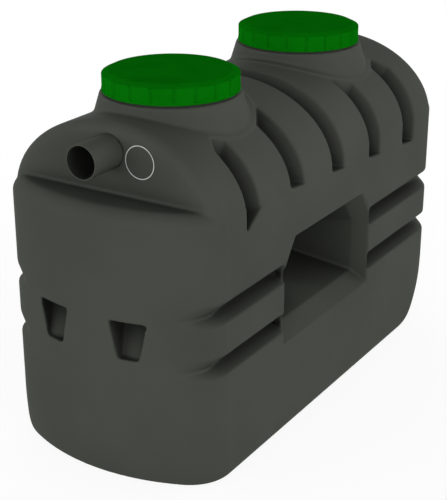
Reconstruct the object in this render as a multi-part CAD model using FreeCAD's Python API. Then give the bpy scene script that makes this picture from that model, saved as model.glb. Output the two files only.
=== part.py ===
import FreeCAD
import Part
import math
import os

# A moulded polyethylene septic tank with a vaulted roof, two manholes and a window through its belly.
# Millimetres, +Z up, Y along the tank with the inlet at -Y, origin under the middle of the tank.

# Belly, seen from above
half_length = 925.0
half_width = 400.0
end_bulge_radius = 720.0
corner_radius = 140.0

# Wall and levels
wall = 8.0
spring_z = 857.0
crest_z = 1145.0
shelf_z = 924.0
pan_height = 30.0

# Rounding under the belly: how far it rises and how far it goes in
front_curve_rise = 180.0
front_curve_depth = 24.0
rear_curve_rise = 260.0
rear_curve_depth = 180.0
side_curve_rise = 30.0
side_curve_depth = 25.0

# Flat end panels above the shelves
end_panel_inset = 143.0
end_panel_rounding = 40.0
shelf_rounding = 50.0

# Where the vault stays whole round the end panels, as circles seen from above
nose_centre = 921.0
nose_radius = 415.0

# Manholes
manhole_spacing = 843.0
manhole_shift = -17.0
neck_radius = 231.0
neck_draft = 0.3
neck_foot_z = 1060.0
neck_shoulder_z = 1172.0
neck_seam_radius = 275.0
neck_fillet = 12.0
spigot_radius = 208.0
spigot_top_z = 1227.0
bore_radius = 200.0

# Lids
lid_radius = 225.0
lid_flat_radius = 200.0
lid_rim_z = 1178.0
lid_top_z = 1243.0
lid_bevel = 11.0
lid_thickness = 6.0
lid_lip = 1.5
lid_lip_height = 7.0
grip_count = 20
grip_width = 9.0
grip_depth = 3.5
seal_width = 7.0
seat_clearance = 0.3

# Roof grooves between the broad bands
groove_shift = -3.0
groove_pitch = 286.0
groove_count = 5
groove_width = 90.0
groove_front_flank = 8.0
groove_rear_flank = 25.0
groove_depth = 60.0
band_recess = 6.0

# Ledge over the side panels, front to rear
ledge_tip_y = -633.0
ledge_tip_z = 807.0
ledge_front_y = -505.0
ledge_front_z = 891.0
ledge_rear_y = 620.0
ledge_rear_z = 790.0

# Two horizontal ribs pressed into the sides
rib_levels = (417.0, 595.0)
rib_height = 76.0
rib_depth = 50.0
rib_drop = 10.0
rib_fade = 2.0

# Window through the belly
window_front_y = -377.0
window_rear_y = 253.0
window_top_z = 706.0
window_sill_z = 330.0
window_chamfer_y = 68.0
window_chamfer_z = 96.0
splay_depth = 62.0
splay_jamb = 22.0
splay_top = 38.0
splay_sill = 48.0
throat_jamb = 70.0
throat_top = 75.0
throat_sill = 110.0

# Lifting pockets in the front wall
pocket_offset = 143.0
pocket_top_z = 563.0
pocket_height = 126.0
pocket_top_width = 126.0
pocket_bottom_width = 70.0
pocket_depth = 90.0
pocket_toe = 24.0

# Pipe stubs
pipe_radius = 55.0
pipe_wall = 3.2
inlet_z = 1057.0
outlet_drop = 40.0
stub_reach = 135.0

# How far the pieces' seams lie from roundings, pressed ribs, chamfers and the window's sill
corner_seam_margin = 25.0
lining_seam_margin = 3.0
lintel_seam_drop = 30.0
sill_seam_rise = 8.0

# Shape of the lofts, and how far a cutting tool reaches past what it cuts
foot_steps = 6
rim_steps = 3
overrun = 60.0
skin = 1.0
touch = 0.01

# Derived places
end_panel_y = half_length - end_panel_inset
corner_centre_x = half_width - corner_radius
pocket_sagitta = end_bulge_radius - math.sqrt(end_bulge_radius ** 2 - pocket_offset ** 2)
pocket_mouth_y = -half_length + pocket_sagitta
front_manhole_y = manhole_shift - manhole_spacing / 2.0
rear_manhole_y = manhole_shift + manhole_spacing / 2.0
groove_middle = (groove_count - 1) / 2.0
groove_places = [groove_shift + (k - groove_middle) * groove_pitch for k in range(groove_count)]
keep_z = ledge_rear_z - 2.0 * overrun
wide = half_width + overrun
far_y = half_length + overrun
tall = lid_top_z + overrun
corner_y = end_panel_y - end_panel_rounding - corner_seam_margin
lining_x = half_width - max(rib_depth, groove_depth + band_recess) - wall - lining_seam_margin


def vec(x, y, z):
    return FreeCAD.Vector(x, y, z)


def box(x0, x1, y0, y1, z0, z1):
    """A box between two corners."""
    return Part.makeBox(x1 - x0, y1 - y0, z1 - z0, vec(x0, y0, z0))


def polygon(points):
    """A flat face from corner points in order."""
    return Part.Face(Part.makePolygon(list(points) + [points[0]]))


def side_prism(yz_points, x0, x1):
    """A prism across the tank from an outline in side view."""
    return polygon([vec(x0, y, z) for y, z in yz_points]).extrude(vec(x1 - x0, 0, 0))


def end_arcs(reach, half, radius, bulge, sign):
    """The three arcs that close the plan at one end, from the +X side to the -X side."""
    centre_x = half - radius
    centre = reach - bulge
    centre_y = centre + math.sqrt((bulge - radius) ** 2 - centre_x ** 2)
    lean = math.atan2(centre_y - centre, centre_x)
    half_lean = lean / 2.0
    side = vec(half, sign * centre_y, 0)
    mid_y = centre_y + radius * math.sin(half_lean)
    side_mid = vec(centre_x + radius * math.cos(half_lean), sign * mid_y, 0)
    joint = vec(bulge * math.cos(lean), sign * (centre + bulge * math.sin(lean)), 0)
    top = vec(0, sign * reach, 0)
    mirrored = [vec(-p.x, p.y, 0) for p in (joint, side_mid, side)]
    corner = Part.Arc(side, side_mid, joint).toShape()
    bulged = Part.Arc(joint, top, mirrored[0]).toShape()
    far = Part.Arc(mirrored[0], mirrored[1], mirrored[2]).toShape()
    return [corner, bulged, far], side, mirrored[2]


def plan_wire(z, front_in, rear_in, side_in, rounding=0.0):
    """The belly's outline at a level, drawn in by the given amounts at the front, the rear and the sides."""
    half = half_width - side_in
    radius = corner_radius - rounding
    bulge = end_bulge_radius - rounding
    front, front_right, front_left = end_arcs(half_length - front_in, half, radius, bulge, -1)
    rear, rear_right, rear_left = end_arcs(half_length - rear_in, half, radius, bulge, 1)
    right_line = Part.LineSegment(rear_right, front_right).toShape()
    left_line = Part.LineSegment(front_left, rear_left).toShape()
    wire = Part.Wire([right_line] + front + [left_line] + rear[::-1])
    wire.translate(vec(0, 0, z))
    return wire


def quarter_ellipse(level, rise, depth):
    """How far a rounding of this rise and depth has gone in at a level above its foot."""
    if level >= rise:
        return 0.0
    share = 1.0 - level / rise
    return depth * (1.0 - math.sqrt(1.0 - share * share))


def belly_part(inset, top_z):
    """The belly up to a level: a lofted rounded foot under a straight prism."""
    wires = []
    for k in range(foot_steps + 1):
        rise = rear_curve_rise * (1.0 - math.cos(math.radians(90.0 * k / foot_steps)))
        front_in = inset + quarter_ellipse(rise, front_curve_rise, front_curve_depth)
        rear_in = inset + quarter_ellipse(rise, rear_curve_rise, rear_curve_depth)
        side_in = inset + quarter_ellipse(rise, side_curve_rise, side_curve_depth)
        share = rise / rear_curve_rise
        wires.append(plan_wire(inset + (rear_curve_rise - inset) * share, front_in, rear_in, side_in, inset))
    foot = Part.makeLoft(wires, True, False)
    straight = Part.Face(plan_wire(rear_curve_rise, inset, inset, inset, inset))
    return foot.fuse(straight.extrude(vec(0, 0, top_z - rear_curve_rise)))


def arch_wire(y, inset, low_z):
    """The cross-section of belly and vault: upright sides under half an ellipse."""
    half = half_width - inset
    height = crest_z - spring_z - inset
    arc = Part.Ellipse(vec(0, 0, 0), half, height).toShape(0, math.pi)
    arc.Placement = FreeCAD.Placement(vec(0, y, spring_z), FreeCAD.Rotation(vec(1, 0, 0), 90))
    right = vec(half, y, spring_z)
    left = vec(-half, y, spring_z)
    corners = [left, vec(-half, y, low_z), vec(half, y, low_z), right]
    lines = [Part.makeLine(a, b) for a, b in zip(corners, corners[1:])]
    return Part.Wire([arc] + lines)


def arch_prism(inset, y0, y1, low_z):
    """The cross-section drawn along the tank."""
    return Part.Face(arch_wire(y0, inset, low_z)).extrude(vec(0, y1 - y0, 0))


def roof_block(inset):
    """The vault between the two end panels, its end edges rounded."""
    reach = end_panel_y - inset
    block = arch_prism(inset, -reach, reach, front_curve_rise + rear_curve_rise)
    rim = []
    for edge in block.Edges:
        bounds = edge.BoundBox
        at_end = bounds.YLength < touch and abs(abs(bounds.YMin) - reach) < touch
        if at_end and bounds.ZMax > spring_z - touch:
            rim.append(edge)
    return block.makeFillet(end_panel_rounding - inset, rim)


def belly_block(inset):
    """The belly up to the shelves, its rim rounded, trimmed to the vault."""
    radius = shelf_rounding - inset
    top = shelf_z - inset
    wires = []
    for k in range(rim_steps + 1):
        turn = math.radians(90.0 * k / rim_steps)
        drawn = inset + radius * (1.0 - math.cos(turn))
        wires.append(plan_wire(top - radius + radius * math.sin(turn), drawn, drawn, drawn, inset))
    rim = Part.makeLoft(wires, True, False)
    whole = belly_part(inset, top - radius).fuse(rim)
    return whole.common(arch_prism(inset, -far_y, far_y, 0.0))


def ledge_outline(drop, y0, y1):
    """The part of the side view over the ledge between two places along the tank."""
    corners = [(ledge_tip_y, ledge_tip_z), (ledge_front_y, ledge_front_z), (ledge_rear_y, ledge_rear_z)]

    def height(y):
        for (ya, za), (yb, zb) in zip(corners, corners[1:]):
            if ya <= y <= yb:
                return za + (zb - za) * (y - ya) / (yb - ya) - drop
        return corners[0][1] - drop if y < corners[0][0] else corners[-1][1] - drop

    inner = [y for y, z in corners if y0 < y < y1]
    low = [(y, height(y)) for y in [y0] + inner + [y1]]
    return low + [(y1, crest_z + overrun), (y0, crest_z + overrun)]


def groove_keep(place, inset):
    """What is left of the vault across one groove: a steep front flank, a floor and a sloped rear flank."""
    half = groove_width / 2.0 + inset
    floor_front = groove_front_flank - half
    floor_rear = half - groove_rear_flank
    deep = groove_depth + inset
    front_lip = inset if place == groove_places[0] else inset + band_recess
    rear_lip = inset if place == groove_places[-1] else inset + band_recess
    stations = [(-half, front_lip), (floor_front, deep), (floor_rear, deep), (half, rear_lip)]
    sections = [arch_wire(place + along, depth, keep_z) for along, depth in stations]
    return [Part.makeLoft(list(pair), True, True) for pair in zip(sections, sections[1:])]


def whole_places(inset):
    """Round places where the vault has no grooves: under the necks and behind the end panels."""
    spots = [(y, neck_seam_radius) for y in (front_manhole_y, rear_manhole_y)]
    spots += [(y, nose_radius) for y in (-nose_centre, nose_centre)]
    return [Part.makeCylinder(radius - inset, tall, vec(0, y, 0)) for y, radius in spots]


def roof_cuts(inset):
    """What the recessed bands and the grooves take out of the vault."""
    cuts = []
    first = groove_places[0] + groove_width / 2.0 + inset
    last = groove_places[-1] - groove_width / 2.0 - inset
    recessed = side_prism(ledge_outline(inset, first, last), -wide, wide)
    inner = arch_prism(band_recess + inset, first - overrun, last + overrun, keep_z)
    cuts.append(recessed.cut(inner))
    whole = whole_places(inset)
    for place in groove_places:
        half = groove_width / 2.0 + inset
        region = side_prism(ledge_outline(inset, place - half, place + half), -wide, wide)
        for piece in groove_keep(place, inset) + whole:
            region = region.cut(piece)
        cuts.append(region)
    return cuts


def rib_cut(level, inset):
    """One horizontal rib pressed into a side, fading out round the corners."""
    half = rib_height / 2.0 + inset
    out = inset - skin
    low_lip = plan_wire(level - half, out, out, out, inset)
    high_lip = plan_wire(level + half, out, out, out, inset)
    tip = level - rib_drop
    deep = plan_wire(tip, inset - rib_fade, inset - rib_fade, inset + rib_depth, inset)
    keep_low = Part.makeLoft([low_lip, deep], True, True)
    keep_high = Part.makeLoft([deep, high_lip], True, True)
    around = box(-wide, wide, -far_y, far_y, level - half, level + half)
    return around.cut(keep_low).cut(keep_high)


def window_outline(x, jamb, top, sill):
    """The window's outline at one depth, with its two upper corners cut off."""
    front = window_front_y + jamb
    rear = window_rear_y - jamb
    high = window_top_z - top
    low = window_sill_z + sill
    corners = [(front, low), (rear, low), (rear, high - window_chamfer_z), (rear - window_chamfer_y, high),
               (front + window_chamfer_y, high), (front, high - window_chamfer_z)]
    points = [vec(x, y, z) for y, z in corners]
    return Part.makePolygon(points + [points[0]])


def window_void(grow):
    """The hourglass passage through the belly, grown by a wall for the inner surface."""
    mouth_x = half_width + overrun
    slope = overrun / splay_depth
    sections = []
    for side in (-1.0, 1.0):
        outer = window_outline(side * mouth_x, -slope * splay_jamb - grow, -slope * splay_top - grow,
                               -slope * splay_sill - grow)
        neck = window_outline(side * (half_width - splay_depth), splay_jamb - grow, splay_top - grow,
                              splay_sill - grow)
        middle = window_outline(0.0, throat_jamb - grow, throat_top - grow, throat_sill - grow)
        sections.append(Part.makeLoft([outer, neck], True, True))
        sections.append(Part.makeLoft([neck, middle], True, True))
    return sections


def pocket_void(x, grow):
    """A lifting pocket: a level ceiling, a back that slopes out to the foot, tapered sides."""
    front_y = -half_length - overrun
    foot_z = pocket_top_z - pocket_height
    profile = [(front_y, pocket_top_z + grow), (pocket_mouth_y + pocket_depth + grow, pocket_top_z + grow),
               (pocket_mouth_y + pocket_toe + grow, foot_z - grow), (front_y, foot_z - grow)]
    half_top = pocket_top_width / 2.0 + grow
    half_foot = pocket_bottom_width / 2.0 + grow
    wedge = side_prism(profile, x - half_top, x + half_top)
    mouth = [(-half_top, pocket_top_z + grow), (half_top, pocket_top_z + grow), (half_foot, foot_z - grow),
             (-half_foot, foot_z - grow)]
    taper = polygon([vec(x + across, front_y, z) for across, z in mouth])
    return wedge.common(taper.extrude(vec(0, half_length, 0)))


def tank_form(inset):
    """The tank's solid form at the outer surface, or drawn in by the wall for the space inside."""
    form = belly_block(inset).fuse(roof_block(inset))
    for cut in roof_cuts(inset):
        form = form.cut(cut)
    for level in rib_levels:
        rib = rib_cut(level, inset)
        gap = box(-wide, wide, window_front_y, window_rear_y, 0.0, crest_z)
        form = form.cut(rib.cut(gap))
    for x in (-pocket_offset, pocket_offset):
        form = form.cut(pocket_void(x, inset))
    for piece in window_void(inset):
        form = form.cut(piece)
    return form


def neck_cone(y, inset):
    """A neck's body from inside the vault up to its shoulder, a little wider at its foot."""
    height = neck_shoulder_z - inset - neck_foot_z
    low_radius = neck_radius + neck_draft * (neck_shoulder_z - neck_foot_z) - inset
    high_radius = low_radius - neck_draft * height
    return Part.makeCone(low_radius, high_radius, height, vec(0, y, neck_foot_z))


def neck_block(y):
    """A round neck standing on the vault, flared into it."""
    column = neck_cone(y, 0.0)
    seat = Part.makeCylinder(neck_seam_radius, crest_z, vec(0, y, spring_z - overrun))
    stump = roof_block(0.0).common(seat)
    joined = stump.fuse(column)
    edges = []
    for edge in joined.Edges:
        middle = edge.valueAt((edge.FirstParameter + edge.LastParameter) / 2.0)
        away = math.hypot(middle.x, middle.y - y)
        cone_radius = neck_radius + neck_draft * (neck_shoulder_z - middle.z)
        if abs(away - cone_radius) < skin and neck_foot_z + skin < middle.z < neck_shoulder_z - skin:
            edges.append(edge)
    return joined.makeFillet(neck_fillet, edges)


def spigot(y):
    """The upright collar on a neck's shoulder that the lid goes over."""
    height = spigot_top_z - neck_shoulder_z + wall
    ring = Part.makeCylinder(spigot_radius, height, vec(0, y, neck_shoulder_z - wall))
    return ring.cut(Part.makeCylinder(bore_radius, height, vec(0, y, neck_shoulder_z - wall)))


def lid(y):
    """A lid with a bevelled edge, a gripped skirt and a hollow underside."""
    skirt_in = lid_radius - lid_thickness
    under = lid_top_z - lid_thickness
    low = lid_rim_z + lid_lip_height
    high = lid_top_z - lid_bevel
    skirt_out = lid_radius - lid_lip
    outline = [vec(0, 0, under), vec(skirt_in - lid_bevel, 0, under), vec(skirt_in, 0, under - lid_bevel),
               vec(skirt_in, 0, lid_rim_z), vec(lid_radius, 0, lid_rim_z), vec(lid_radius, 0, low),
               vec(skirt_out, 0, low), vec(skirt_out, 0, high), vec(lid_flat_radius, 0, lid_top_z),
               vec(0, 0, lid_top_z)]
    body = polygon(outline).revolve(vec(0, 0, 0), vec(0, 0, 1), 360)
    half_grip = grip_width / 2.0
    for k in range(grip_count):
        notch = box(skirt_out - grip_depth, lid_radius + overrun, -half_grip, half_grip, low, high)
        notch.rotate(vec(0, 0, 0), vec(0, 0, 1), 360.0 * k / grip_count)
        body = body.cut(notch)
    body.translate(vec(0, y, 0))
    return body


def seal(y):
    """The flat rubber ring between a spigot and its lid."""
    top = lid_top_z - lid_thickness - seat_clearance
    ring = Part.makeCylinder(bore_radius + seal_width, top - spigot_top_z, vec(0, y, spigot_top_z))
    return ring.cut(Part.makeCylinder(bore_radius, top - spigot_top_z, vec(0, y, spigot_top_z)))


def pipe_core(sign, z, radius, start):
    """A round core out from a place inside an end panel to the stub's mouth."""
    length = end_panel_y + stub_reach - start
    return Part.makeCylinder(radius, length, vec(0, sign * start, z), vec(0, sign, 0))


def stub(sign, z):
    """A pipe stub standing on its end panel."""
    tube = pipe_core(sign, z, pipe_radius, end_panel_y)
    return tube.cut(pipe_core(sign, z, pipe_radius - pipe_wall, end_panel_y))


def save(name, shape):
    solids = shape.Solids
    shape = solids[0] if len(solids) == 1 else Part.makeCompound(solids)
    print(name, "solids", len(solids), "volume", round(shape.Volume), "valid", shape.isValid())
    shape.exportStep("parts/" + name + ".step")


def build():
    os.makedirs("parts", exist_ok=True)
    outer = tank_form(0.0)
    inner = tank_form(wall)
    for y in (front_manhole_y, rear_manhole_y):
        outer = outer.fuse(neck_block(y))
    shell = outer.cut(inner)
    for y in (front_manhole_y, rear_manhole_y):
        bore = Part.makeCylinder(bore_radius, crest_z, vec(0, y, neck_shoulder_z - wall - skin))
        shell = shell.cut(neck_cone(y, wall)).cut(bore)
    for sign, z in ((-1, inlet_z), (1, inlet_z - outlet_drop)):
        shell = shell.cut(pipe_core(sign, z, pipe_radius - pipe_wall, end_panel_y - overrun))

    save("floor_pan", shell.common(box(-wide, wide, -far_y, far_y, -skin, pan_height)))
    above = shell.common(box(-wide, wide, -far_y, far_y, pan_height, tall))
    for name, sign in (("front", -1), ("rear", 1)):
        near, far = sorted((sign * corner_y, sign * far_y))
        end = above.common(box(-wide, wide, near, far, pan_height, tall))
        title = "inlet_end_panel" if sign < 0 else "outlet_end_panel"
        save(title, end.common(box(-wide, wide, near, far, spring_z, tall)))
        low = end.common(box(-wide, wide, near, far, pan_height, spring_z))
        save(name + "_end_wall", low.common(box(-corner_centre_x, corner_centre_x, near, far, 0.0, tall)))
        save(name + "_left_corner", low.common(box(-wide, -corner_centre_x, near, far, 0.0, tall)))
        save(name + "_right_corner", low.common(box(corner_centre_x, wide, near, far, 0.0, tall)))

    middle = above.common(box(-wide, wide, -corner_y, corner_y, pan_height, tall))
    roof_side = [(-corner_y, spring_z), (ledge_tip_y, spring_z), (ledge_tip_y, ledge_tip_z),
                 (ledge_front_y, ledge_front_z), (ledge_rear_y, ledge_rear_z), (ledge_rear_y, spring_z),
                 (corner_y, spring_z), (corner_y, tall), (-corner_y, tall)]
    roof_zone = side_prism(roof_side, -wide, wide)
    roof = middle.common(roof_zone)
    belly = middle.cut(roof_zone)

    frame_front = window_front_y + splay_jamb + wall
    frame_rear = window_rear_y - splay_jamb - wall
    high = window_top_z - window_chamfer_z - splay_top - lintel_seam_drop
    low = window_sill_z + throat_sill + wall + sill_seam_rise
    passage = box(-lining_x, lining_x, window_front_y, window_rear_y, 0.0, tall)
    sides = belly.cut(passage)
    for name, x0, x1 in (("left", -wide, 0.0), ("right", 0.0, wide)):
        side = sides.common(box(x0, x1, -far_y, far_y, 0.0, tall))
        save(name + "_front_panel", side.common(box(x0, x1, -far_y, frame_front, 0.0, tall)))
        save(name + "_rear_panel", side.common(box(x0, x1, frame_rear, far_y, 0.0, tall)))
        between = side.common(box(x0, x1, frame_front, frame_rear, 0.0, tall))
        save(name + "_window_lintel", between.common(box(x0, x1, -far_y, far_y, high, tall)))
        save(name + "_window_sill", between.common(box(x0, x1, -far_y, far_y, 0.0, high)))
    lining = belly.common(passage)
    save("tunnel_roof", lining.common(box(-lining_x, lining_x, -far_y, far_y, high, tall)))
    save("tunnel_floor", lining.common(box(-lining_x, lining_x, -far_y, far_y, 0.0, low)))
    between = lining.common(box(-lining_x, lining_x, -far_y, far_y, low, high))
    centre = (window_front_y + window_rear_y) / 2.0
    save("tunnel_front_wall", between.common(box(-lining_x, lining_x, -far_y, centre, 0.0, tall)))
    save("tunnel_rear_wall", between.common(box(-lining_x, lining_x, centre, far_y, 0.0, tall)))

    necks = []
    for name, y in (("front", front_manhole_y), ("rear", rear_manhole_y)):
        around = Part.makeCylinder(neck_seam_radius, tall, vec(0, y, 0))
        save(name + "_neck", roof.common(around).fuse(spigot(y)))
        necks.append(around)
        save(name + "_lid", lid(y))
        save(name + "_lid_seal", seal(y))
    bands = roof.cut(necks[0]).cut(necks[1])
    edges = [-corner_y] + groove_places + [corner_y]
    for side, x0, x1 in (("left", -wide, 0.0), ("right", 0.0, wide)):
        for k in range(len(edges) - 1):
            band = bands.common(box(x0, x1, edges[k], edges[k + 1], 0.0, tall))
            save(side + "_roof_band_" + str(k + 1), band)

    for name, sign, z in (("inlet_stub", -1, inlet_z), ("outlet_stub", 1, inlet_z - outlet_drop)):
        save(name, stub(sign, z))


build()
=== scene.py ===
"""A moulded septic tank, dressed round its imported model: shell, lids, pipe stubs and stage."""

import math

import bpy
import numpy as np
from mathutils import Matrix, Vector
from mathutils.bvhtree import BVHTree


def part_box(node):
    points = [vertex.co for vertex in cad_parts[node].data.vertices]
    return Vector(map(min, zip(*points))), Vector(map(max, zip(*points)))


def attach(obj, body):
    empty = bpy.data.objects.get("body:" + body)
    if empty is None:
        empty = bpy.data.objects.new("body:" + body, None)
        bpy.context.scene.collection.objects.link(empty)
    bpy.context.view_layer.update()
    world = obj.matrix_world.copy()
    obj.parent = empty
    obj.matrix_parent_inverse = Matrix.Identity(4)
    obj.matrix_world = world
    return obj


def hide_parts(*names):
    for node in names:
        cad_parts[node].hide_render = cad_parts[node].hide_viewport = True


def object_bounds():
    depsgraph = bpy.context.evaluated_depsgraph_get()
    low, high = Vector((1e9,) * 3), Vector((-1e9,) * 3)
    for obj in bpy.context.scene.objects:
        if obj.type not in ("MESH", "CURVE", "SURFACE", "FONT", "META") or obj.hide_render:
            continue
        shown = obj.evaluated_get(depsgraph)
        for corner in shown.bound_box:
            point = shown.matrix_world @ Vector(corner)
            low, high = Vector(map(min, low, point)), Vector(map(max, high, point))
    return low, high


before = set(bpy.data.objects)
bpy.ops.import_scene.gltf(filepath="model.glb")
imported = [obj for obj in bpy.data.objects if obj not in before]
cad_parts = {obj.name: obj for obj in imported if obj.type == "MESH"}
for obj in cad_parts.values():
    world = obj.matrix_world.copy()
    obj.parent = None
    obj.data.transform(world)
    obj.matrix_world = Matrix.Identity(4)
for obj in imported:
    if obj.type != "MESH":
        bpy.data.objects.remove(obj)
cad_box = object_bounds()

# Camera, found by fitting the lids, the side and the uprights of the photograph
CAMERA_PLACE = (2.2385, -3.6906, 2.2210)
CAMERA_YAW = 32.093
CAMERA_PITCH = -22.175
CAMERA_LENS = 90.45
CAMERA_REACH = 100.0

# Moulded shell
SHELL_VOXEL = 0.0045
SHELL_SMOOTHING = 8
SHELL_TRIANGLES = 190000
SEAM_TOUCH = 0.00002
SEAM_FACING = -0.99

# Ribs pressed into the sides: levels of their tips, reach below and above,
# and what the skin adds to their depth
RIB_TIPS = (0.407, 0.585)
RIB_BELOW = 0.028
RIB_ABOVE = 0.048
RIB_EXTRA = 0.015
RIB_SIDE = 0.26
RIB_END = 0.80
RIB_FULL = 0.62
WINDOW_FRONT = -0.377
WINDOW_REAR = 0.253
WINDOW_MARGIN = 0.014

# Lids: the wide bevel, the lip under the grips, and the grips
LID_FLAT_RADIUS = 0.200
LID_BEVEL = 0.011
LID_WALL = 0.006
LID_LIP = 0.0015
LID_LIP_HEIGHT = 0.007
LID_ROUNDING = 0.0014
LID_ROUNDING_STEPS = 4
LID_MERGE = 0.00005
GRIP_COUNT = 20
GRIP_STEPS = 44
GRIP_WIDTH = 0.009
GRIP_DEPTH = 0.0035
GRIP_EDGE = 0.0016

# Thread on the collars under the lids
THREAD_RADIUS = 0.2075
THREAD_FOOT = 1.186
THREAD_HEIGHT = 0.026
THREAD_TURNS = 2.0
THREAD_WIDTH = 0.0032
THREAD_SEGMENTS = 120
THREAD_SIDES = 8

# Pale ring on the inlet end panel: its middle (x and z), its line, and the furthest back it is drawn
MARK_PLACE = (0.117, 1.040)
MARK_RADIUS = 0.052
MARK_WIDTH = 0.0026
MARK_FRONT = -0.775
MARK_COLOUR = (0.55, 0.56, 0.54, 1)

# Tank: two close blacks, and a darker one painted into its recesses as shade
TANK_DARK = (0.054, 0.058, 0.049, 1)
TANK_LIGHT = (0.062, 0.066, 0.056, 1)
TANK_PAINTED_SHADE = (0.014, 0.015, 0.013, 1)
# Reach, samples and limits of the ambient occlusion that paints shade into the recesses
PAINTED_SHADE_REACH = 0.3
PAINTED_SHADE_SAMPLES = 16
PAINTED_SHADE_CLOSED = 0.25
PAINTED_SHADE_OPEN = 0.95

# Lids and seals
LID_DARK = (0.0012, 0.122, 0.0016, 1)
LID_LIGHT = (0.0016, 0.140, 0.0022, 1)
SEAL_DARK = (0.012, 0.012, 0.012, 1)
SEAL_LIGHT = (0.02, 0.02, 0.02, 1)

# Where the slow noise passes from the darker colour to the lighter one
CLOUD_LOW = 0.3
CLOUD_HIGH = 0.7

# Light: a bright ring round the horizon under a dark ceiling (in degrees of height), and a pale floor
WHITE = (1, 1, 1, 1)
RING_LIGHT = 2.9
CEILING_LIGHT = 0.0
RING_TOP = 20.0
CEILING_FOOT = 38.0
FLOOR_SIZE = 30.0
FLOOR_GAP = 0.0005
FLOOR_SHADE = 0.5
SHADOW_SHADE = 0.2
FLOOR_GLOW = 0.87

LIDS = ("front_lid", "rear_lid")
SEALS = ("front_lid_seal", "rear_lid_seal")
STUBS = ("inlet_stub", "outlet_stub")
SHELL_NODES = sorted(set(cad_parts) - set(LIDS) - set(SEALS) - set(STUBS))


class Term:
    """A socket that takes part in Python arithmetic; each operator adds its Math node."""

    def __init__(self, wiring, socket):
        self.wiring = wiring
        self.socket = socket

    def math(self, operation, *values):
        inputs = dict(enumerate((self,) + values))
        return self.wiring.node("ShaderNodeMath", {"operation": operation}, inputs)

    def __add__(self, other):
        return self.math("ADD", other)

    __radd__ = __add__

    def __mul__(self, other):
        return self.math("MULTIPLY", other)

    __rmul__ = __mul__

    def __sub__(self, other):
        return self.math("SUBTRACT", other)

    def __rsub__(self, other):
        return (self * -1.0) + other

    def __truediv__(self, other):
        return self.math("DIVIDE", other)

    def __gt__(self, other):
        return self.math("GREATER_THAN", other)

    def __lt__(self, other):
        return self.math("LESS_THAN", other)

    def limited(self):
        """The value held between 0 and 1."""
        return self.wiring.node("ShaderNodeClamp", {}, {"Value": self})

    def between(self, low, high):
        """0 below low, 1 above high and a smooth step between them."""
        inputs = {"Value": self, "From Min": low, "From Max": high}
        return self.wiring.node("ShaderNodeMapRange", {"interpolation_type": "SMOOTHSTEP"}, inputs)


class Wiring:
    """Adds nodes to one tree. A node's inputs take numbers, tuples or terms."""

    def __init__(self, tree):
        self.tree = tree

    def node(self, kind, settings=None, inputs=None, output=0):
        node = self.tree.nodes.new(kind)
        for name, value in (settings or {}).items():
            setattr(node, name, value)
        for key, value in (inputs or {}).items():
            if isinstance(value, Term):
                self.tree.links.new(value.socket, node.inputs[key])
            else:
                node.inputs[key].default_value = value
        return Term(self, node.outputs[output])


def material(name, roughness, specular):
    """A new material with its Principled shader, and the wiring to feed it."""
    made = bpy.data.materials.new(name)
    made.use_nodes = True
    shader = made.node_tree.nodes["Principled BSDF"]
    shader.inputs["Roughness"].default_value = roughness
    shader.inputs["Specular IOR Level"].default_value = specular
    return made, Wiring(made.node_tree), shader


def feed(wiring, shader, name, value):
    wiring.tree.links.new(value.socket, shader.inputs[name])


def blend_colours(wiring, factor, first, second):
    """One colour where the factor is 0, the other where it is 1."""
    inputs = {0: factor, 6: first, 7: second}
    return wiring.node("ShaderNodeMix", {"data_type": "RGBA"}, inputs, output=2)


def noise(wiring, place, scale, detail=3.0):
    inputs = {"Vector": place, "Scale": scale, "Detail": detail}
    return wiring.node("ShaderNodeTexNoise", {}, inputs)


def bump(wiring, height, strength, distance):
    inputs = {"Height": height, "Strength": strength, "Distance": distance}
    return wiring.node("ShaderNodeBump", {}, inputs)


def object_place(wiring):
    return wiring.node("ShaderNodeTexCoord", output=3)


def coordinates(wiring, place):
    """The x, y and z of a place."""
    parts = wiring.tree.nodes.new("ShaderNodeSeparateXYZ")
    wiring.tree.links.new(place.socket, parts.inputs[0])
    return tuple(Term(wiring, output) for output in parts.outputs)


def grey(shade):
    return (shade, shade, shade, 1)


def painted_shade_openness(wiring):
    """Mask for painted shade: 1 on open faces and 0 deep in the moulding's own recesses, from whichever
    side it is seen.
    """
    settings = {"only_local": True, "samples": PAINTED_SHADE_SAMPLES}
    inputs = {"Distance": PAINTED_SHADE_REACH}
    share = wiring.node("ShaderNodeAmbientOcclusion", settings, inputs, output=1)
    return share.between(PAINTED_SHADE_CLOSED, PAINTED_SHADE_OPEN)


def panel_mark(wiring, place):
    """1 on the thin pale ring beside the inlet stub."""
    x, y, z = coordinates(wiring, place)
    across = x - MARK_PLACE[0]
    up = z - MARK_PLACE[1]
    away = (across * across + up * up).math("SQRT")
    off_line = (away - MARK_RADIUS).math("ABSOLUTE")
    return (off_line < MARK_WIDTH / 2.0) * (y < MARK_FRONT)


def tank_plastic():
    """Black moulded polyethylene: matt, a little cloudy, with shade painted darker into its recesses,
    and a fine skin.
    """
    made, wiring, shader = material("tank_plastic", 0.6, 0.02)
    place = object_place(wiring)
    cloud = noise(wiring, place, 2.6, 4.0)
    grain = noise(wiring, place, 420.0, 2.0)
    plain = blend_colours(wiring, cloud.between(CLOUD_LOW, CLOUD_HIGH), TANK_DARK, TANK_LIGHT)
    # Painted shade: the base colour is darkened deep in the moulding's recesses, from ambient occlusion
    with_painted_shade = blend_colours(wiring, painted_shade_openness(wiring), TANK_PAINTED_SHADE, plain)
    base = blend_colours(wiring, panel_mark(wiring, place), with_painted_shade, MARK_COLOUR)
    feed(wiring, shader, "Base Color", base)
    feed(wiring, shader, "Roughness", 0.56 + cloud * 0.1)
    feed(wiring, shader, "Normal", bump(wiring, grain, 0.25, 0.0004))
    return made


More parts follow.
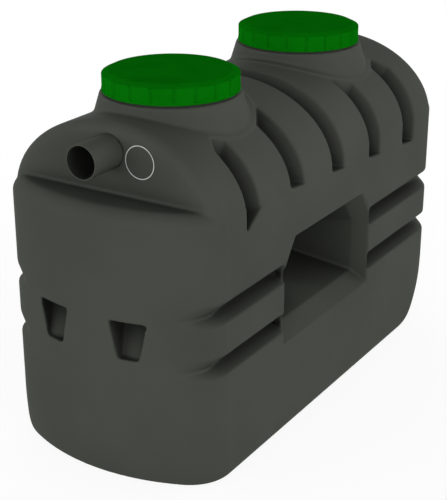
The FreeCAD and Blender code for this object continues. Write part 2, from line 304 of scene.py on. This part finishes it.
def lid_plastic():
    """Green injection-moulded plastic, smoother than the tank."""
    made, wiring, shader = material("lid_plastic", 0.42, 0.0)
    place = object_place(wiring)
    cloud = noise(wiring, place, 7.0, 3.0)
    grain = noise(wiring, place, 700.0, 2.0)
    base = blend_colours(wiring, cloud.between(CLOUD_LOW, CLOUD_HIGH), LID_DARK, LID_LIGHT)
    feed(wiring, shader, "Base Color", base)
    feed(wiring, shader, "Roughness", 0.38 + cloud * 0.12)
    feed(wiring, shader, "Normal", bump(wiring, grain, 0.15, 0.0002))
    return made


def seal_rubber():
    """Black rubber of the seals under the lids."""
    made, wiring, shader = material("seal_rubber", 0.8, 0.2)
    grain = noise(wiring, object_place(wiring), 500.0, 2.0)
    base = blend_colours(wiring, grain, SEAL_DARK, SEAL_LIGHT)
    feed(wiring, shader, "Base Color", base)
    feed(wiring, shader, "Normal", bump(wiring, grain, 0.2, 0.0003))
    return made


def finished(name, mesh, finish, body, nodes=()):
    """Links a mesh as a piece of the object, riding on a body and standing for CAD nodes."""
    piece = bpy.data.objects.new(name, mesh)
    bpy.context.scene.collection.objects.link(piece)
    mesh.materials.clear()
    mesh.materials.append(finish)
    mesh.shade_smooth()
    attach(piece, body)
    if nodes:
        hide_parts(*nodes)
    return piece


def outer_triangles(nodes):
    """Corners of the nodes' triangles, without those that lie face to face on a seam."""
    corners = []
    owners = []
    for index, name in enumerate(nodes):
        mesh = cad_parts[name].data
        mesh.calc_loop_triangles()
        places = np.zeros(len(mesh.vertices) * 3)
        mesh.vertices.foreach_get("co", places)
        picks = np.zeros(len(mesh.loop_triangles) * 3, dtype=np.int32)
        mesh.loop_triangles.foreach_get("vertices", picks)
        corners.append(places.reshape(-1, 3)[picks].reshape(-1, 3, 3))
        owners.append(np.full(len(mesh.loop_triangles), index))
    corners = np.concatenate(corners)
    owners = np.concatenate(owners)
    across = np.cross(corners[:, 1] - corners[:, 0], corners[:, 2] - corners[:, 0])
    area = np.linalg.norm(across, axis=1)
    normals = across / np.maximum(area, 1e-12)[:, None]
    points = corners.reshape(-1, 3).tolist()
    faces = np.arange(len(points)).reshape(-1, 3).tolist()
    tree = BVHTree.FromPolygons(points, faces, all_triangles=True)
    keep = np.ones(len(corners), dtype=bool)
    for index, middle in enumerate(corners.mean(axis=1)):
        for _, _, other, _ in tree.find_nearest_range(Vector(middle), SEAM_TOUCH):
            facing = normals[other] @ normals[index]
            if owners[other] != owners[index] and facing < SEAM_FACING:
                keep[index] = False
                break
    return corners[keep]


def run_modifiers(piece, *settings):
    """Adds modifiers, each given as its kind and values, and returns the resulting mesh."""
    for kind, values in settings:
        modifier = piece.modifiers.new(kind.lower(), kind)
        for name, value in values.items():
            setattr(modifier, name, value)
    graph = bpy.context.evaluated_depsgraph_get()
    mesh = bpy.data.meshes.new_from_object(piece.evaluated_get(graph))
    piece.modifiers.clear()
    return mesh


def deepen_ribs(mesh):
    """Presses the ribs in the sides further in, wall and all, where they run full depth."""
    places = np.zeros(len(mesh.vertices) * 3)
    mesh.vertices.foreach_get("co", places)
    places = places.reshape(-1, 3)
    x, y, z = places.T
    side = np.abs(x) > RIB_SIDE
    depth = np.zeros(len(places))
    for tip in RIB_TIPS:
        reach = np.where(z < tip, RIB_BELOW, RIB_ABOVE)
        depth = np.maximum(depth, 1.0 - np.abs(z - tip) / reach)
    ends = np.clip((RIB_END - np.abs(y)) / (RIB_END - RIB_FULL), 0.0, 1.0)
    smooth_ends = ends * ends * (3.0 - 2.0 * ends)
    window = np.maximum(WINDOW_FRONT - y, y - WINDOW_REAR) / WINDOW_MARGIN
    share = depth * smooth_ends * np.clip(window, 0.0, 1.0) * side
    places[:, 0] -= np.sign(x) * RIB_EXTRA * share
    mesh.vertices.foreach_set("co", places.ravel())
    mesh.update()


def moulded_shell(finish):
    """The whole moulding as one skin with soft edges, made from the nodes it replaces."""
    corners = outer_triangles(SHELL_NODES)
    faces = np.arange(len(corners) * 3).reshape(-1, 3)
    raw = bpy.data.meshes.new("raw_shell")
    raw.from_pydata(corners.reshape(-1, 3).tolist(), [], faces.tolist())
    piece = bpy.data.objects.new("raw_shell", raw)
    bpy.context.scene.collection.objects.link(piece)
    remesh = ("REMESH", {"mode": "VOXEL", "voxel_size": SHELL_VOXEL, "adaptivity": 0.0})
    smooth = ("SMOOTH", {"factor": 0.5, "iterations": SHELL_SMOOTHING})
    fine = run_modifiers(piece, remesh, smooth)
    deepen_ribs(fine)
    piece.data = fine
    ratio = SHELL_TRIANGLES / (2 * len(fine.polygons))
    mesh = run_modifiers(piece, ("DECIMATE", {"ratio": min(1.0, ratio)}))
    bpy.data.objects.remove(piece)
    mesh.name = "moulded_shell"
    return finished("moulded_shell", mesh, finish, "tank", SHELL_NODES)


def geometry_tree(name, sizes):
    """An empty geometry tree with a named input for each size, its wiring, and the inputs."""
    tree = bpy.data.node_groups.new(name, "GeometryNodeTree")
    tree.interface.new_socket("Geometry", in_out="INPUT", socket_type="NodeSocketGeometry")
    for size, kind in sizes.items():
        tree.interface.new_socket(size, in_out="INPUT", socket_type=kind)
    tree.interface.new_socket("Geometry", in_out="OUTPUT", socket_type="NodeSocketGeometry")
    wiring = Wiring(tree)
    start = tree.nodes.new("NodeGroupInput")
    inputs = {socket.name: Term(wiring, socket) for socket in start.outputs if socket.name}
    return tree, wiring, inputs


def named_sizes(lengths, counts):
    """The socket kind of each named length and count."""
    sizes = dict.fromkeys(lengths, "NodeSocketFloat")
    sizes.update(dict.fromkeys(counts, "NodeSocketInt"))
    return sizes


def end_tree(tree, wiring, geometry, finish):
    """Ends a tree in real geometry with its material."""
    real = wiring.node("GeometryNodeRealizeInstances", {}, {0: geometry})
    coated = wiring.node("GeometryNodeSetMaterial", {}, {"Geometry": real, "Material": finish})
    end = tree.nodes.new("NodeGroupOutput")
    tree.links.new(coated.socket, end.inputs[0])


def grown(name, tree, mesh, values):
    """The mesh that a geometry tree makes from a start mesh with the given input values."""
    piece = bpy.data.objects.new(name, mesh)
    bpy.context.scene.collection.objects.link(piece)
    modifier = piece.modifiers.new("tree", "NODES")
    modifier.node_group = tree
    for item in tree.interface.items_tree:
        if item.item_type == "SOCKET" and item.in_out == "INPUT" and item.name in values:
            modifier[item.identifier] = values[item.name]
    graph = bpy.context.evaluated_depsgraph_get()
    result = bpy.data.meshes.new_from_object(piece.evaluated_get(graph))
    bpy.data.objects.remove(piece)
    result.name = name
    return result


def lid_outline(radius, low, high):
    """Half a lid's section as an open outline, from the middle of the top to that of the underside.

    It is drawn as a profile: distance from the circle that carries it, and height downwards.
    """
    skirt = radius - LID_LIP
    inner = radius - LID_WALL
    under = high - LID_WALL
    shoulder = high - LID_BEVEL
    sill = low + LID_LIP_HEIGHT
    points = [(0.0, high), (LID_FLAT_RADIUS, high), (skirt, shoulder)]
    points += [(skirt, shoulder - GRIP_EDGE), (skirt, shoulder - 2.0 * GRIP_EDGE)]
    points += [(skirt, sill + 2.0 * GRIP_EDGE), (skirt, sill + GRIP_EDGE)]
    points += [(skirt, sill), (radius, sill), (radius, low), (inner, low)]
    points += [(inner, under - LID_BEVEL), (inner - LID_BEVEL, under), (0.0, under)]
    mesh = bpy.data.meshes.new("lid_outline")
    edges = [(k, k + 1) for k in range(len(points) - 1)]
    mesh.from_pydata([(away - radius, -height, 0.0) for away, height in points], edges, [])
    return mesh


def lid_tree(finish):
    """A lid turned from its outline, with grips pressed into its skirt."""
    grips = ("Grip Width", "Grip Depth", "Grip Edge", "Grip Foot", "Grip Head")
    lengths = ("Radius",) + grips + ("Rounding", "Along")
    tree, wiring, given = geometry_tree("screw_lid", named_sizes(lengths, ("Grips", "Steps")))
    outline = wiring.node("GeometryNodeMeshToCurve", {}, {"Mesh": given["Geometry"]})
    fillet = {"Radius": given["Rounding"], "Limit Radius": True, "Count": LID_ROUNDING_STEPS}
    fillet["Curve"] = outline
    rounded = wiring.node("GeometryNodeFilletCurve", {"mode": "POLY"}, fillet)
    path = {"Resolution": given["Grips"] * given["Steps"], "Radius": given["Radius"]}
    circle = wiring.node("GeometryNodeCurvePrimitiveCircle", {}, path)
    upright = wiring.node("GeometryNodeSetCurveNormal", {"mode": "Z_UP"}, {"Curve": circle})
    turned = wiring.node("GeometryNodeCurveToMesh", {}, {"Curve": upright, "Profile Curve": rounded})
    closed = wiring.node("GeometryNodeMergeByDistance", {}, {"Geometry": turned, "Distance": LID_MERGE})
    x, y, z = coordinates(wiring, wiring.node("GeometryNodeInputPosition"))
    turn = y.math("ARCTAN2", x) / (2.0 * math.pi)
    off = ((turn * given["Grips"]).math("WRAP", 0.5, -0.5)).math("ABSOLUTE")
    along = off / given["Grips"] * (2.0 * math.pi) * given["Radius"]
    half = given["Grip Width"] / 2.0
    across = 1.0 - (along - half + given["Grip Edge"] / 2.0) / given["Grip Edge"]
    upper = (given["Grip Head"] - z) / given["Grip Edge"]
    lower = (z - given["Grip Foot"]) / given["Grip Edge"]
    away = (x * x + y * y).math("SQRT")
    outside = away > given["Radius"] - LID_WALL / 2.0
    share = across.limited() * upper.limited() * lower.limited() * outside
    inward = share * given["Grip Depth"] / away * -1.0
    shift = wiring.node("ShaderNodeCombineXYZ", {}, {0: x * inward, 1: y * inward, 2: 0.0})
    gripped = wiring.node("GeometryNodeSetPosition", {}, {"Geometry": closed, "Offset": shift})
    spot = wiring.node("ShaderNodeCombineXYZ", {}, {0: 0.0, 1: given["Along"], 2: 0.0})
    placed = wiring.node("GeometryNodeTransform", {}, {"Geometry": gripped, "Translation": spot})
    end_tree(tree, wiring, placed, finish)
    return tree


def screw_lids(finish):
    """Both lids, each riding on its own body."""
    tree = lid_tree(finish)
    for name in LIDS:
        low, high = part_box(name)
        radius = (high[0] - low[0]) / 2.0
        values = {
            "Radius": radius,
            "Grips": GRIP_COUNT,
            "Steps": GRIP_STEPS,
            "Grip Width": GRIP_WIDTH,
            "Grip Depth": GRIP_DEPTH,
            "Grip Edge": GRIP_EDGE,
            "Grip Foot": low[2] + LID_LIP_HEIGHT,
            "Grip Head": high[2] - LID_BEVEL,
            "Rounding": LID_ROUNDING,
            "Along": (low[1] + high[1]) / 2.0,
        }
        mesh = grown(name + "_dressed", tree, lid_outline(radius, low[2], high[2]), values)
        finished(name + "_dressed", mesh, finish, name + "_body", (name,))


def thread_tree(finish):
    """A ridge that winds up round a collar."""
    lengths = ("Radius", "Foot", "Rise", "Turns", "Width", "Along")
    tree, wiring, given = geometry_tree("collar_thread", named_sizes(lengths, ("Segments",)))
    path = {
        "Resolution": given["Segments"],
        "Rotations": given["Turns"],
        "Start Radius": given["Radius"],
        "End Radius": given["Radius"],
        "Height": given["Rise"],
    }
    winding = wiring.node("GeometryNodeCurveSpiral", {}, path)
    section = {"Resolution": THREAD_SIDES, "Radius": given["Width"]}
    ridge = wiring.node("GeometryNodeCurvePrimitiveCircle", {}, section)
    swept = {"Curve": winding, "Profile Curve": ridge, "Fill Caps": True}
    wound = wiring.node("GeometryNodeCurveToMesh", {}, swept)
    spot = wiring.node("ShaderNodeCombineXYZ", {}, {0: 0.0, 1: given["Along"], 2: given["Foot"]})
    placed = wiring.node("GeometryNodeTransform", {}, {"Geometry": wound, "Translation": spot})
    end_tree(tree, wiring, placed, finish)
    return tree


def collar_threads(finish):
    """The thread on each collar, seen when its lid is off."""
    tree = thread_tree(finish)
    for name in LIDS:
        low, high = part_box(name)
        values = {
            "Radius": THREAD_RADIUS,
            "Foot": THREAD_FOOT,
            "Rise": THREAD_HEIGHT,
            "Turns": THREAD_TURNS,
            "Width": THREAD_WIDTH,
            "Segments": THREAD_SEGMENTS,
            "Along": (low[1] + high[1]) / 2.0,
        }
        start = bpy.data.meshes.new("thread_start")
        mesh = grown(name.replace("lid", "collar_thread"), tree, start, values)
        finished(mesh.name, mesh, finish, "tank")


def dress_nodes(names, finish):
    """CAD nodes that stay as they are get their finish."""
    for name in names:
        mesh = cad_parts[name].data
        mesh.materials.clear()
        mesh.materials.append(finish)


def make_camera():
    """The photograph's camera."""
    data = bpy.data.cameras.new("camera")
    camera = bpy.data.objects.new("camera", data)
    bpy.context.scene.collection.objects.link(camera)
    camera.location = CAMERA_PLACE
    camera.rotation_euler = (math.radians(90.0 + CAMERA_PITCH), 0.0, math.radians(CAMERA_YAW))
    data.lens = CAMERA_LENS
    data.clip_end = CAMERA_REACH
    bpy.context.scene.camera = camera


def seen_directly(wiring):
    """1 for rays from the camera, and from mirrors and glass, which show the same background."""
    path = wiring.tree.nodes.new("ShaderNodeLightPath")
    seen = Term(wiring, path.outputs["Is Camera Ray"])
    for name in ("Is Glossy Ray", "Is Transmission Ray"):
        seen = seen.math("MAXIMUM", Term(wiring, path.outputs[name]))
    return seen


def make_world():
    """Soft light from a ring round the horizon, before a white background."""
    world = bpy.data.worlds.new("studio")
    world.use_nodes = True
    bpy.context.scene.world = world
    wiring = Wiring(world.node_tree)
    world.node_tree.nodes.clear()
    direction = wiring.node("ShaderNodeTexCoord")
    up = wiring.node("ShaderNodeSeparateXYZ", {}, {0: direction}, output=2)
    ceiling = up.between(math.sin(math.radians(RING_TOP)), math.sin(math.radians(CEILING_FOOT)))
    light = RING_LIGHT + ceiling * (CEILING_LIGHT - RING_LIGHT)
    ring = wiring.node("ShaderNodeBackground", {}, {"Color": WHITE, "Strength": light})
    white = wiring.node("ShaderNodeBackground", {}, {"Color": WHITE, "Strength": 1.0})
    mixed = wiring.node("ShaderNodeMixShader", {}, {0: seen_directly(wiring), 1: ring, 2: white})
    end = world.node_tree.nodes.new("ShaderNodeOutputWorld")
    world.node_tree.links.new(mixed.socket, end.inputs["Surface"])


def make_floor():
    """A pale floor: for the camera nearly white, with the tank's soft shadow."""
    corners = [(-1, -1), (1, -1), (1, 1), (-1, 1)]
    mesh = bpy.data.meshes.new("floor")
    mesh.from_pydata([(x * FLOOR_SIZE, y * FLOOR_SIZE, 0) for x, y in corners], [], [(0, 1, 2, 3)])
    floor = bpy.data.objects.new("floor", mesh)
    bpy.context.scene.collection.objects.link(floor)
    floor.location.z = cad_box[0].z - FLOOR_GAP
    made = bpy.data.materials.new("pale_floor")
    made.use_nodes = True
    made.node_tree.nodes.clear()
    wiring = Wiring(made.node_tree)
    plain = wiring.node("ShaderNodeBsdfDiffuse", {}, {"Color": grey(FLOOR_SHADE)})
    shadow = wiring.node("ShaderNodeBsdfDiffuse", {}, {"Color": grey(SHADOW_SHADE)})
    glow = wiring.node("ShaderNodeEmission", {}, {"Color": WHITE, "Strength": FLOOR_GLOW})
    shown = wiring.node("ShaderNodeAddShader", {}, {0: shadow, 1: glow})
    mixed = wiring.node("ShaderNodeMixShader", {}, {0: seen_directly(wiring), 1: plain, 2: shown})
    end = made.node_tree.nodes.new("ShaderNodeOutputMaterial")
    wiring.tree.links.new(mixed.socket, end.inputs["Surface"])
    mesh.materials.append(made)


def main():
    bpy.context.scene.view_settings.view_transform = "Standard"
    make_camera()
    make_world()
    make_floor()
    tank = tank_plastic()
    lid = lid_plastic()
    rubber = seal_rubber()
    moulded_shell(tank)
    screw_lids(lid)
    collar_threads(tank)
    dress_nodes(SEALS, rubber)
    dress_nodes(STUBS, tank)


main()
